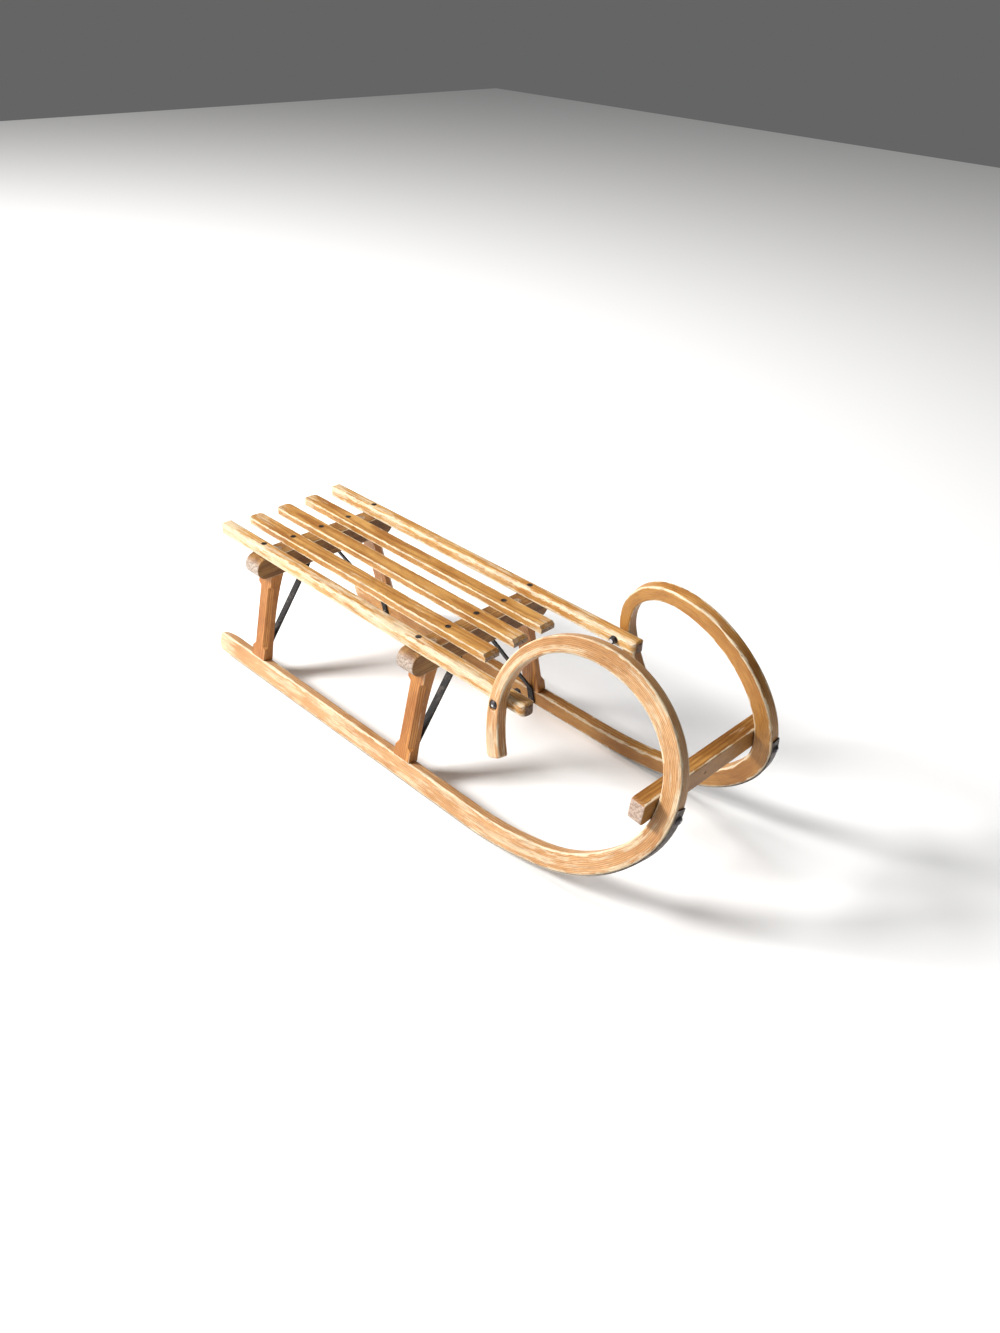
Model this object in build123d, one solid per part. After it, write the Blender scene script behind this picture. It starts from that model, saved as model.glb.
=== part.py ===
from build123d import *
import os
from math import ceil, cos, degrees, radians, sin, sqrt

# Wooden toboggan with two bentwood runners that end in large horns.
# Millimetres. +X points forward, to the horns, +Y to the left, +Z up.
# Pieces are modelled about the point midway between the two bearers, and
# moved at the end so that the origin is on the ground under the sled's middle.

# ---- Driving sizes of the whole sled ----
overall_length = 1158.0  # rear end of the seat to the front of the horns
ground_width = 383.0  # over the outer faces of the runners, at the ground
seat_height = 283.0  # top of the flat slats above the ground
runner_lean = 13.0  # degrees that each runner leans in towards the seat

# ---- Seat ----
slat_pitch = 70.0
slat_width = 34.5
slat_thickness = 14.5
slat_length = 708.0
slat_corner = 12.0  # rounding of the rear corners in plan
slat_nose = 6.0  # chamfer on the front end
slat_edge = 2.2  # rounding round the top
rail_offset = 139.5  # centre of a seat rail from the middle
rail_width = 30.0
rail_thickness = 21.5
rail_overhang = 47.5  # front end of a rail past its horn bolt
rail_notch = 1.3  # depth of the flat in the rail's side where the horn lies
rail_crown = 9.0  # rounding along the two top edges
rail_edge = 2.5  # rounding along the two bottom edges
rail_corner = 13.0  # rounding of the ends in plan
rail_nose = 7.0  # rounding of the top of both ends

# ---- Bearers ----
bearer_setback = 135.5  # rear bearer from the rear end of the seat
bearer_spacing = 460.0
bearer_depth = 45.0  # along the sled
bearer_height = 45.0
bearer_length = 346.0
bearer_edge = 3.0

# ---- Legs ----
leg_depth = 41.0  # along the sled
leg_waist_width = 19.5
leg_waist_rise = 60.0  # waist above the runner
leg_foot_slope = 0.03  # inward for each millimetre up, where the inner side starts
leg_head_slope = -0.35  # and where it meets the bearer
leg_head_width = 40.0
leg_chamfer = 8.5
leg_chamfer_stop = 22.0  # plain wood left at the foot and under the bearer
rear_leg_rake = 7.5  # the rear feet stand this far ahead of their bearer
peg_diameter = 15.0  # round tenon through the bearer
peg_inset = 24.0  # its axis from the outer face of the leg
foot_peg_diameter = 12.0  # round tenon in the runner
foot_peg_length = 20.0
peg_spare = 40.0  # extra length of the tenon and its hole before they are trimmed
tenon_fit = 0.15

# ---- Runners ----
runner_width = 21.5
runner_edge = 3.0
runner_rear_inset = 7.0  # the runners end this far ahead of the seat
tip_sole_corner = 15.0  # rounding of the rear tip below
tip_top_corner = 8.0
tip_taper = 40.0  # the inner side of the rear tip curves in over this length
tip_taper_depth = 12.0
horn_outer_corner = 9.0  # rounding of the horn's end on the outside of the bend
horn_inner_corner = 5.0
# Radius of each bend of the centre line and the angle that it turns.
horn_bends = ((691.0, 14.6), (280.0, 40.6), (174.5, 132.4), (146.5, 87.7), (304.0, 16.7))
# Height of the section where the runner has turned by each angle.
bend_heights = (
    (0, 39.5), (15, 36.5), (55, 34.0), (165, 34.5),
    (205, 28.0), (240, 23.0), (268, 23.5), (292, 29.0))
bend_step = 24.0  # between the sections round the horn
horn_crown = 180.0  # heading at the top of the horn, ahead of the rail
search_step = 0.5  # between the lengths tried for the horn bolt

# ---- Runner shoes ----
shoe_width = 17.0
shoe_thickness = 2.0
shoe_rear_gap = 38.0  # bare wood behind the shoe
shoe_gap = 0.4  # between the steel and the wood
shoe_front_heading = 90.0  # the shoe ends where the runner has turned by this angle
shoe_screw_count = 5  # along each straight
shoe_screw_length = 16.0
shoe_screw_margin = 25.0  # from the rear end of the shoe and from the bend

# ---- Toe bar ----
toe_bar_length = 330.0
toe_bar_thickness = 27.0
toe_bar_height = 42.0
toe_bar_heading = 84.0  # place on the bend
toe_bar_corner = 7.0
toe_bar_edge = 2.0
toe_hole_diameter = 5.0
toe_hole_depth = 14.0
toe_hole_offset = -10.0  # from the middle of the bar
toe_bar_gap = 0.3  # between the bar and the horns
toe_screw_bite = 20.0  # length of a toe screw in the bar

# ---- Braces ----
brace_width = 15.0
brace_thickness = 3.5
brace_bend = 9.0
brace_top_reach = 34.0  # where the slope starts, from the middle of the bearer
brace_pad = 30.0  # length of the flat under the bearer
brace_foot_top = 46.0  # the flat foot runs between these heights on the runner
brace_foot_bottom = 7.0
brace_screw_rise = 8.0  # foot screw above the foot's lower end

# ---- Fasteners ----
screw_head = 11.5
screw_land = 0.4  # straight rim of a countersunk head
screw_shank = 5.0
screw_bite = 23.0  # length of a seat screw in the bearer
screw_slot = 1.2
pan_head = 10.0
pan_rise = 3.0
pan_shank = 4.5
pan_length = 18.0
bolt_shank = 8.0
bolt_head = 16.0
bolt_rise = 4.5
nut_flats = 12.0
nut_height = 5.0
spot_fit = 0.6  # round a bolt's head where it is let into the wood
washer_diameter = 15.5
washer_thickness = 1.6
bolt_end = 2.0  # thread that shows past the nut

seat_gap = 0.1  # between pieces that are screwed together
horn_seat_gap = 0.4  # between the horn and its flat on the rail
horn_seat_margin = 8.0  # length of that flat past the horn, each way
spare = 1.0  # by which a hole's cutter stands out of the surface
hole_fit = 0.15  # round a fastener in its hole

# ---- Places that follow from the sizes ----
bearer_x = {"rear": -bearer_spacing / 2, "front": bearer_spacing / 2}
seat_rear = bearer_x["rear"] - bearer_setback
bearer_top = seat_height - slat_thickness
bearer_bottom = bearer_top - bearer_height
lean = radians(runner_lean)
lift = (runner_width + shoe_width) / 2 * sin(lean) + (shoe_thickness + shoe_gap) * cos(lean)
runner_rear = seat_rear + runner_rear_inset
rail_top = bearer_top + rail_thickness
rail_middle = bearer_top + rail_thickness / 2
rail_outer = -rail_offset - rail_width / 2
rail_inner = -rail_offset + rail_width / 2
straight_height = bend_heights[0][1]

# The right runner's own plane: X along it, Y up it, Z out of its outer face.
runner_plane = Plane(origin=(0, -ground_width / 2, lift), x_dir=(1, 0, 0), z_dir=(0, -cos(lean), sin(lean)))


def height_at(heading):
    """Height of the runner's section where it has turned by this many degrees."""
    for (low, first), (high, last) in zip(bend_heights, bend_heights[1:]):
        if heading <= high:
            return first + (last - first) * (heading - low) / (high - low)
    return bend_heights[-1][1]


def bend(distance):
    """Forward, up and heading after this distance along the bends, from their start."""
    forward, up, heading = 0.0, 0.0, 0.0
    for radius, turn in horn_bends:
        step = min(degrees(distance / radius), turn)
        forward += radius * (sin(radians(heading + step)) - sin(radians(heading)))
        up += radius * (cos(radians(heading)) - cos(radians(heading + step)))
        heading += step
        distance = max(distance - radius * radians(step), 0.0)
    return forward, up, heading


def distance_to(heading):
    """Distance along the bends to where the runner has turned by this angle."""
    distance, turned = 0.0, 0.0
    for radius, turn in horn_bends:
        step = min(turn, heading - turned)
        distance += radius * radians(max(step, 0.0))
        turned += turn
    return distance


bend_length = sum(radius * radians(turn) for radius, turn in horn_bends)
horn_reach = bend(distance_to(90.0))[0] + height_at(90.0) / 2
bend_start = seat_rear + overall_length - horn_reach
straight_length = bend_start - runner_rear
horn_front = bend_start + bend(distance_to(90.0))[0]
shoe_end = straight_length + distance_to(shoe_front_heading)


def horn_meeting():
    """Length along the runner where the horn passes the seat rail, and its spread there."""
    across = rail_outer + rail_notch - horn_seat_gap - runner_width / 2 / cos(lean) + ground_width / 2
    rise = rail_middle - lift
    wanted = across * sin(lean) + rise * cos(lean) - straight_height / 2
    lengths = even_steps(distance_to(horn_crown), bend_length, search_step)
    length = min(lengths, key=lambda tried: abs(bend(tried)[1] - wanted))
    return straight_length + length, runner_width / 2 - across * cos(lean) + rise * sin(lean)


def even_steps(start, end, pitch):
    """Evenly spaced lengths from start to end, no further apart than the pitch."""
    count = ceil((end - start) / pitch)
    return [start + (end - start) * i / count for i in range(count + 1)]


bend_stations = even_steps(straight_length, shoe_end, bend_step)
horn_bolt_length, horn_bolt_spread = horn_meeting()
horn_bolt_x = bend_start + bend(horn_bolt_length - straight_length)[0]
rail_length = horn_bolt_x + rail_overhang - seat_rear
spread_slope = horn_bolt_spread / (horn_front - horn_bolt_x)


def runner_at(length):
    """Centre line point (forward, up), heading and outward spread, by length from the rear."""
    forward, up, heading = bend(max(length - straight_length, 0.0))
    forward += runner_rear + min(length, straight_length)
    spread = spread_slope * (horn_front - forward) if heading > 90.0 else 0.0
    return forward, up + straight_height / 2, heading, spread


def section_plane(length, outward=0.0):
    """Plane across the runner: its X points out of the bend and its Y into the sled."""
    forward, up, heading, spread = runner_at(length)
    turn = radians(heading)
    origin = (forward + outward * sin(turn), up - outward * cos(turn), spread - runner_width / 2)
    return Plane(origin=origin, x_dir=(sin(turn), -cos(turn), 0), z_dir=(cos(turn), sin(turn), 0))


def rounded_end(plane, height, outer_corner, inner_corner):
    """Cutter that rounds the corners at an end: the plane's Z points out of it and its X to the outer one."""
    reach = 2 * max(outer_corner, inner_corner)
    kept = Pos(0, 0, -reach) * Box(height, 2 * runner_width, 2 * reach)
    corners = kept.faces().sort_by(Axis.Z)[-1].edges().filter_by(Axis.Y).sort_by(Axis.X)
    kept = fillet(corners[-1], outer_corner)
    corners = kept.edges().filter_by(Axis.Y).group_by(Axis.Z)[-1].sort_by(Axis.X)
    kept = fillet(corners[0], inner_corner)
    block = Pos(0, 0, -reach / 2) * Box(height + 2 * spare, 2 * runner_width, reach + 2 * spare)
    return plane.location * (block - kept)


def tip_cutter(plane):
    """Cutter that curves in the inner side of the rear tip. The plane's Y points into the sled."""
    radius = (tip_taper ** 2 + tip_taper_depth ** 2) / (2 * tip_taper_depth)
    block = Box(2 * straight_height, 2 * tip_taper_depth, tip_taper + 2 * spare)
    block = Pos(0, runner_width / 2, -tip_taper / 2) * block
    side = Rot(0, 90, 0) * Cylinder(radius, 3 * straight_height)
    return plane.location * (block - Pos(0, runner_width / 2 - radius, -tip_taper) * side)


def runner_section(length):
    """Rounded section of the runner."""
    height = height_at(runner_at(length)[2])
    return section_plane(length) * RectangleRounded(height, runner_width, runner_edge)


def runner():
    """Bentwood runner and horn with rounded ends."""
    straight = extrude(runner_section(0.0), straight_length)
    lengths = bend_stations + even_steps(shoe_end, straight_length + bend_length, bend_step)[1:]
    body = straight + loft([runner_section(length) for length in lengths])
    rear = section_plane(0.0)
    rear = Plane(origin=rear.origin, x_dir=-rear.x_dir, z_dir=-rear.z_dir)
    body -= rounded_end(rear, straight_height, tip_top_corner, tip_sole_corner)
    body -= tip_cutter(rear)
    end_height = height_at(runner_at(lengths[-1])[2])
    return body - rounded_end(section_plane(lengths[-1]), end_height, horn_outer_corner, horn_inner_corner)


def shoe_section(length):
    """Section of the steel strip, clear of the wood."""
    outward = height_at(runner_at(length)[2]) / 2 + shoe_gap + shoe_thickness / 2
    return section_plane(length, outward) * Rectangle(shoe_thickness, shoe_width)


def shoe_strip():
    """Steel strip under the runner, turned up at the front."""
    straight = extrude(shoe_section(shoe_rear_gap), straight_length - shoe_rear_gap)
    return straight + loft([shoe_section(length) for length in bend_stations])


def on_runner(shape):
    """Move a shape from the right runner's plane into the sled."""
    return runner_plane.location * shape


def sled_point(forward, up, inward):
    """Point in the sled of a point in the right runner's plane."""
    across = -ground_width / 2 + inward * cos(lean) + up * sin(lean)
    return (forward, across, lift + up * cos(lean) - inward * sin(lean))


def countersunk_screw(length):
    """Slotted countersunk screw: its head's top is at the origin and its shank hangs down."""
    cone = (screw_head - screw_shank) / 2
    profile = Polyline(
        (0, 0), (screw_head / 2, 0), (screw_head / 2, -screw_land), (screw_shank / 2, -screw_land - cone),
        (screw_shank / 2, 2 * screw_shank - length), (0, -length), (0, 0))
    body = revolve(make_face(Plane.XZ * profile), Axis.Z)
    return body - Box(screw_head, screw_slot, 2 * screw_slot)


def countersunk_hole(length):
    """Hole for a countersunk screw with its clearance."""
    cone = (screw_head - screw_shank) / 2
    wide = screw_head / 2 + hole_fit
    narrow = screw_shank / 2 + hole_fit
    profile = Polyline(
        (0, spare), (wide, spare), (wide, -screw_land - hole_fit), (narrow, -screw_land - hole_fit - cone),
        (narrow, -length - hole_fit), (0, -length - hole_fit), (0, spare))
    return revolve(make_face(Plane.XZ * profile), Axis.Z)


def domed_head(diameter, rise):
    """Round head that stands on the origin plane."""
    radius = (diameter ** 2 / 4 + rise ** 2) / (2 * rise)
    ball = Pos(0, 0, rise - radius) * Sphere(radius)
    return ball & Pos(0, 0, rise / 2) * Box(2 * diameter, 2 * diameter, rise)


def pan_screw(length):
    """Round-headed screw whose head stands on the origin plane."""
    shank = Pos(0, 0, -length / 2) * Cylinder(pan_shank / 2, length)
    slot = Pos(0, 0, pan_rise) * Box(pan_head, screw_slot, screw_slot)
    return domed_head(pan_head, pan_rise) + shank - slot


def plain_hole(diameter, length):
    """Hole down from the origin plane."""
    return Pos(0, 0, (spare - length) / 2) * Cylinder(diameter / 2 + hole_fit, length + spare)


def domed_bolt(length):
    """Bolt or coach screw with a domed head on the origin plane."""
    return domed_head(bolt_head, bolt_rise) + Pos(0, 0, -length / 2) * Cylinder(bolt_shank / 2, length)


def washer_and_nut(grip):
    """Washer and hexagon nut on the far side of a bolt's grip."""
    hole = bolt_shank / 2 + hole_fit
    washer = Pos(0, 0, -grip - washer_thickness / 2) * Cylinder(washer_diameter / 2, washer_thickness)
    flat = nut_flats / sqrt(3)
    nut = Pos(0, 0, -grip - washer_thickness - nut_height) * extrude(RegularPolygon(flat, 6), nut_height)
    bore = Pos(0, 0, -grip) * Cylinder(hole, 4 * nut_height)
    return [washer - bore, nut - bore]


def seat_slat(offset):
    """Flat slat with rounded rear corners and a chamfered front end."""
    slat = Pos(0, offset, bearer_top + slat_thickness / 2) * Box(slat_length, slat_width, slat_thickness)
    slat = Pos(seat_rear + slat_length / 2) * slat
    slat = fillet(slat.edges().filter_by(Axis.Z).group_by(Axis.X)[0], slat_corner)
    front_top = slat.faces().sort_by(Axis.X)[-1].edges().sort_by(Axis.Z)[-1]
    slat = chamfer(front_top, slat_nose)
    top = slat.faces().sort_by(Axis.Z)[-1]
    return fillet(top.edges(), slat_edge)


def seat_rail():
    """Right seat rail: crowned along the top, with rounded ends."""
    across = Plane.YZ * (Rectangle(rail_width, rail_thickness))
    bar = extrude(across, rail_length / 2, both=True)
    long_edges = bar.edges().filter_by(Axis.X).group_by(Axis.Z)
    bar = fillet(long_edges[-1], rail_crown)
    bar = fillet(bar.edges().filter_by(Axis.X).group_by(Axis.Z)[0], rail_edge)
    plan = extrude(RectangleRounded(rail_length, rail_width, rail_corner), rail_thickness, both=True)
    half = rail_length / 2
    side = Plane.XZ * Rectangle(rail_length, rail_thickness)
    side_bar = extrude(side, rail_width, both=True)
    side_bar = fillet(side_bar.edges().filter_by(Axis.Y).group_by(Axis.Z)[-1], rail_nose)
    rail = bar & plan & side_bar
    return Pos(seat_rear + half, -rail_offset, bearer_top + rail_thickness / 2) * rail


def bearer(end):
    """Cross bearer with half-round ends."""
    outline = Plane.YZ * SlotOverall(bearer_length, bearer_height)
    body = extrude(outline, bearer_depth / 2, both=True)
    faces = body.faces().sort_by(Axis.X)
    body = fillet(faces[0].edges() + faces[-1].edges(), bearer_edge)
    return Pos(bearer_x[end], 0, bearer_top - bearer_height / 2) * body


def leg_face():
    """Front view of a leg: straight outside, flared inside towards the bearer."""
    foot = straight_height - runner_edge
    waist = straight_height + leg_waist_rise
    head = bearer_top / cos(lean)
    inside = Spline(
        (-runner_width, foot), (-leg_waist_width, waist), (-leg_head_width, head),
        tangents=((leg_foot_slope, 1), (leg_head_slope, 1)))
    outside = Polyline((-leg_head_width, head), (0, head), (0, foot), (-runner_width, foot))
    front_view = Plane(origin=(0, 0, 0), x_dir=(0, 0, 1), z_dir=(-1, 0, 0))
    return front_view * make_face([inside, outside])


def leg_chamfers():
    """Cutters for the stopped chamfers along the two outer edges."""
    low = straight_height + leg_chamfer_stop
    high = (bearer_bottom - lift) / cos(lean) - leg_chamfer_stop
    face = leg_chamfer * sqrt(2)
    cutters = []
    for side in (-1, 1):
        bar = Box(4 * face, high - low, face)
        bar = chamfer(bar.edges().filter_by(Axis.X).group_by(Axis.Z)[0], 0.48 * face)
        bar = Rot(0, side * 45, 0) * Pos(0, 0, face / 2) * bar
        cutters.append(Pos(side * (leg_depth - leg_chamfer) / 2, (low + high) / 2, -leg_chamfer / 2) * bar)
    return cutters


def leg_location(end):
    """Place of a leg in the runner's plane, with the rear pair raked."""
    foot_x = bearer_x[end] + (rear_leg_rake if end == "rear" else 0.0)
    rise = (bearer_bottom - lift) / cos(lean) - straight_height
    rake = degrees((foot_x - bearer_x[end]) / rise)
    return Pos(foot_x, straight_height) * Rot(0, 0, rake) * Pos(0, -straight_height)


def leg_pegs(end, fit=0.0):
    """Round tenons of a leg, in the bearer and in the runner, or their holes with a fit."""
    place = runner_plane.location * leg_location(end)
    head = Pos(0, bearer_bottom / cos(lean), -peg_inset) * Rot(90, 0, 0)
    upper = place * head * Cylinder(peg_diameter / 2 + fit, 2 * (bearer_height + peg_spare))
    foot_depth = foot_peg_length + fit
    foot = Pos(0, straight_height - foot_depth / 2, -runner_width / 2) * Rot(90, 0, 0)
    lower = place * foot * Cylinder(foot_peg_diameter / 2 + fit, foot_depth)
    return upper, lower


def leg(end):
    """Right leg with the tenons that hold it in the bearer and the runner."""
    span = 3 * seat_height
    body = extrude(leg_face(), leg_depth / 2, both=True)
    for cutter in leg_chamfers():
        body -= cutter
    body = leg_location(end) * body
    body -= Pos(bearer_x[end], straight_height + seat_gap - span / 2) * Box(span, span, span)
    above = Pos(bearer_x[end], 0, bearer_bottom - seat_gap + span / 2) * Box(span, span, span)
    body = on_runner(body) - above
    upper, lower = leg_pegs(end)
    kept = Box(span, span, bearer_height + 2 * seat_gap)
    upper &= Pos(bearer_x[end], 0, bearer_top - bearer_height / 2) * kept
    return body + upper + lower


def brace_points():
    """Centre line of a brace across the sled, from its foot on the runner to its pad."""
    inward = runner_width + seat_gap + brace_thickness / 2
    foot = [sled_point(0, up, inward)[1:] for up in (brace_foot_bottom, brace_foot_top)]
    pad = bearer_bottom - seat_gap - brace_thickness / 2
    return foot + [(-brace_top_reach, pad), (brace_pad - brace_top_reach, pad)]


def brace(end):
    """Right flat iron brace, bent flat on the runner and under the bearer."""
    line = FilletPolyline(brace_points(), radius=brace_bend)
    strip = Plane.YZ * trace(line, brace_thickness)
    return Pos(bearer_x[end]) * extrude(strip, brace_width / 2, both=True)


def brace_screw_places(end):
    """Places of a brace's two screws, with Z out of the iron."""
    pad_height = bearer_bottom - seat_gap - brace_thickness
    pad = Plane(origin=(bearer_x[end], brace_pad / 2 - brace_top_reach, pad_height), z_dir=(0, 0, -1))
    inward = runner_width + seat_gap + brace_thickness
    point = sled_point(bearer_x[end], brace_foot_bottom + brace_screw_rise, inward)
    foot = Plane(origin=point, x_dir=(1, 0, 0), z_dir=(0, cos(lean), -sin(lean)))
    return [pad.location, foot.location]


def toe_bar_frame():
    """Middle of the toe bar, with Z towards the front of the horns and X along the bar."""
    length = straight_length + distance_to(toe_bar_heading)
    forward, up, heading, spread = runner_at(length)
    turn = radians(heading)
    radius = horn_bends[2][0]
    hollow = radius - height_at(heading) / 2
    tilt_gap = runner_width / 2 * sin(lean) * cos(turn) + toe_bar_gap
    face = sqrt(hollow ** 2 - (toe_bar_height / 2) ** 2) - tilt_gap - radius
    middle = face - toe_bar_thickness / 2
    point = sled_point(forward + middle * sin(turn), up - middle * cos(turn), runner_width / 2)
    normal = (sin(turn), 0, -cos(turn) * cos(lean))
    return Plane(origin=(point[0], 0, point[2]), x_dir=(0, 1, 0), z_dir=normal), point[1]


def toe_screw_place():
    """Place of the right toe screw's head, and its length."""
    frame, across = toe_bar_frame()
    heading = radians(toe_bar_heading)
    hollow = horn_bends[2][0] - height_at(toe_bar_heading) / 2
    sag = hollow - sqrt(hollow ** 2 - (toe_bar_height / 2) ** 2)
    ahead = toe_bar_thickness / 2 + sag + height_at(toe_bar_heading) + shoe_gap + shoe_thickness
    ahead += runner_width * sin(lean) * cos(heading) + toe_bar_gap
    head = frame.location * Pos(across, 0, ahead)
    return head, ahead - toe_bar_thickness / 2 + toe_screw_bite


def toe_bar():
    """Cross bar in the hollow of the two horns, with the small hole in its front."""
    bar = Box(toe_bar_length, toe_bar_height, toe_bar_thickness)
    bar = fillet(bar.edges().filter_by(Axis.Z), toe_bar_corner)
    faces = bar.faces().sort_by(Axis.Z)
    bar = fillet(faces[0].edges() + faces[-1].edges(), toe_bar_edge)
    bar -= Pos(toe_hole_offset, 0, toe_bar_thickness / 2) * plain_hole(toe_hole_diameter, toe_hole_depth)
    return toe_bar_frame()[0].location * bar


def horn_bolt_place():
    """Place of the right horn bolt's head, and its grip."""
    forward, up, heading, spread = runner_at(horn_bolt_length)
    outer = sled_point(forward, up, -spread)[1] + bolt_head / 2 * sin(lean)
    head = Plane(origin=(forward, outer, rail_middle), x_dir=(1, 0, 0), z_dir=(0, -1, 0))
    return head.location, rail_inner - outer + seat_gap


def horn_seat():
    """Cutter for the flat on the rail where the horn lies against it."""
    reach = rail_thickness + horn_seat_margin
    sections = []
    for length in even_steps(horn_bolt_length - reach, horn_bolt_length + reach, reach):
        height = height_at(runner_at(length)[2]) + 2 * horn_seat_margin
        sections.append(section_plane(length) * Rectangle(height, runner_width + 2 * horn_seat_gap))
    return on_runner(loft(sections))


def seat_screws(offset, top, length):
    """Countersunk screws of one slat or rail, one over each bearer."""
    return [Pos(x, offset, top) * countersunk_screw(length) for x in bearer_x.values()]


def seat_holes(offset, top, length):
    """Countersunk holes for the same screws."""
    return [Pos(x, offset, top) * countersunk_hole(length) for x in bearer_x.values()]


def shoe_screw_places():
    """Places of the screws under the right runner, with Z out of the steel."""
    first = shoe_rear_gap + shoe_screw_margin
    last = straight_length - shoe_screw_margin
    step = (last - first) / (shoe_screw_count - 1)
    depth = straight_height / 2 + shoe_gap + shoe_thickness
    places = []
    for number in range(shoe_screw_count):
        plane = section_plane(first + number * step, depth)
        face = Plane(origin=plane.origin, x_dir=plane.z_dir, z_dir=plane.x_dir)
        places.append(runner_plane.location * face.location)
    return places


def both_sides(name, shape, parts):
    """Add a piece of the right side and its mirror image."""
    parts[name + "_right"] = shape
    parts[name + "_left"] = mirror(shape, about=Plane.XZ)


def group(shapes):
    """Separate solids in one node, with their mirror images."""
    solids = [solid for shape in shapes for solid in shape.solids()]
    return Compound(solids + [mirror(solid, about=Plane.XZ) for solid in solids])


def cut(shape, cutters):
    """Cut a shape by each cutter in turn."""
    for cutter in cutters:
        shape -= cutter
    return shape


def bore(head, grip):
    """Hole along a bolt, through the grip and out past both ends."""
    return head * Pos(0, 0, -grip / 2) * Cylinder(bolt_shank / 2 + hole_fit, 2 * grip)


def toe_bore():
    """Hole for the right toe screw."""
    head, length = toe_screw_place()
    return head * plain_hole(bolt_shank, length)


def build():
    """All the pieces by name."""
    parts = {}
    horn_head, horn_grip = horn_bolt_place()
    horn_bore = bore(horn_head, horn_grip)
    horn_spot = horn_head * Pos(0, 0, bolt_head / 2) * Cylinder(bolt_head / 2 + spot_fit, bolt_head)
    toe_head, toe_length = toe_screw_place()

    shoe_places = shoe_screw_places()
    shoe_holes = [place * countersunk_hole(shoe_screw_length) for place in shoe_places]
    brace_places = {end: brace_screw_places(end) for end in bearer_x}
    slat_screw = slat_thickness + screw_bite
    rail_screw = rail_thickness + screw_bite
    rail_holes = seat_holes(-rail_offset, rail_top, rail_screw)

    runner_cuts = shoe_holes + [horn_bore, horn_spot, toe_bore()]
    for end in bearer_x:
        pad_hole, foot_hole = [place * plain_hole(pan_shank, pan_length) for place in brace_places[end]]
        upper_hole, lower_hole = leg_pegs(end, tenon_fit)
        runner_cuts += [lower_hole, foot_hole]
        both_sides("leg_" + end, leg(end), parts)
        both_sides("brace_" + end, cut(brace(end), [pad_hole, foot_hole]), parts)
        side_cuts = [upper_hole, pad_hole] + rail_holes + seat_holes(-slat_pitch, seat_height, slat_screw)
        cuts = side_cuts + [mirror(shape, about=Plane.XZ) for shape in side_cuts]
        parts["bearer_" + end] = cut(bearer(end), cuts + seat_holes(0, seat_height, slat_screw))

    both_sides("runner", cut(on_runner(runner()), runner_cuts), parts)
    both_sides("runner_shoe", cut(on_runner(shoe_strip()), shoe_holes + [toe_bore()]), parts)
    both_sides("seat_rail", cut(seat_rail(), rail_holes + [horn_seat(), horn_bore]), parts)
    for name, offset in (("right", -slat_pitch), ("centre", 0.0), ("left", slat_pitch)):
        parts["seat_slat_" + name] = cut(seat_slat(offset), seat_holes(offset, seat_height, slat_screw))
    parts["toe_bar"] = cut(toe_bar(), [toe_bore(), mirror(toe_bore(), about=Plane.XZ)])

    side_slat_screws = list(group(seat_screws(-slat_pitch, seat_height, slat_screw)).solids())
    middle_screws = [solid for screw in seat_screws(0, seat_height, slat_screw) for solid in screw.solids()]
    parts["slat_screws"] = Compound(side_slat_screws + middle_screws)
    parts["rail_screws"] = group(seat_screws(-rail_offset, rail_top, rail_screw))
    pan_places = brace_places["rear"] + brace_places["front"]
    parts["brace_screws"] = group([place * pan_screw(pan_length) for place in pan_places])
    parts["shoe_screws"] = group([place * countersunk_screw(shoe_screw_length) for place in shoe_places])
    bolt_length = horn_grip + washer_thickness + nut_height + bolt_end
    parts["horn_bolts"] = group([horn_head * domed_bolt(bolt_length)])
    parts["horn_bolt_nuts"] = group([horn_head * piece for piece in washer_and_nut(horn_grip)])
    parts["toe_bar_screws"] = group([toe_head * domed_bolt(toe_length - hole_fit)])
    return parts


def main():
    """Build the sled, move it to its origin and write one file for each node."""
    os.makedirs("parts", exist_ok=True)
    parts = build()
    boxes = [shape.bounding_box() for shape in parts.values()]
    middle = (min(box.min.X for box in boxes) + max(box.max.X for box in boxes)) / 2
    print("moved back by", round(middle, 3))
    for name, shape in parts.items():
        export_step(Pos(-middle) * shape, f"parts/{name}.step")


main()
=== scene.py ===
from math import ceil, cos, degrees, pi, radians, sin, sqrt

import bmesh
import bpy
from mathutils import Matrix, Vector
from mathutils.kdtree import KDTree


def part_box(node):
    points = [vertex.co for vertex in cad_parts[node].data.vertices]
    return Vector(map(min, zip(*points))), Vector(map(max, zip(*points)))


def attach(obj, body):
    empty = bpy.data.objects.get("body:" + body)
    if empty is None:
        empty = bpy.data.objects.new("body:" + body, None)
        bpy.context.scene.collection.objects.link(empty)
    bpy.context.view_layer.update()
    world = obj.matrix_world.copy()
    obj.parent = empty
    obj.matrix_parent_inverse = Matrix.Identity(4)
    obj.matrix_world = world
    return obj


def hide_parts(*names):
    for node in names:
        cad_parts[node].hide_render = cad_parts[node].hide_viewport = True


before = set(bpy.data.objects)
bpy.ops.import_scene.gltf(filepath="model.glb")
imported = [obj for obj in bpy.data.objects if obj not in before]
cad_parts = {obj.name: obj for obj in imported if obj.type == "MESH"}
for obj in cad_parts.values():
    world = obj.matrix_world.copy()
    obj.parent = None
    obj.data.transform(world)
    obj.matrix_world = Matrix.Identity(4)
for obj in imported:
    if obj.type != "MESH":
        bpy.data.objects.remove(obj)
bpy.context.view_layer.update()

# Looks of the wooden toboggan. Metres, in the frame of the CAD model: +X forward
# to the horns, +Y to the left, +Z up. Its right side is the one near the camera.

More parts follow.
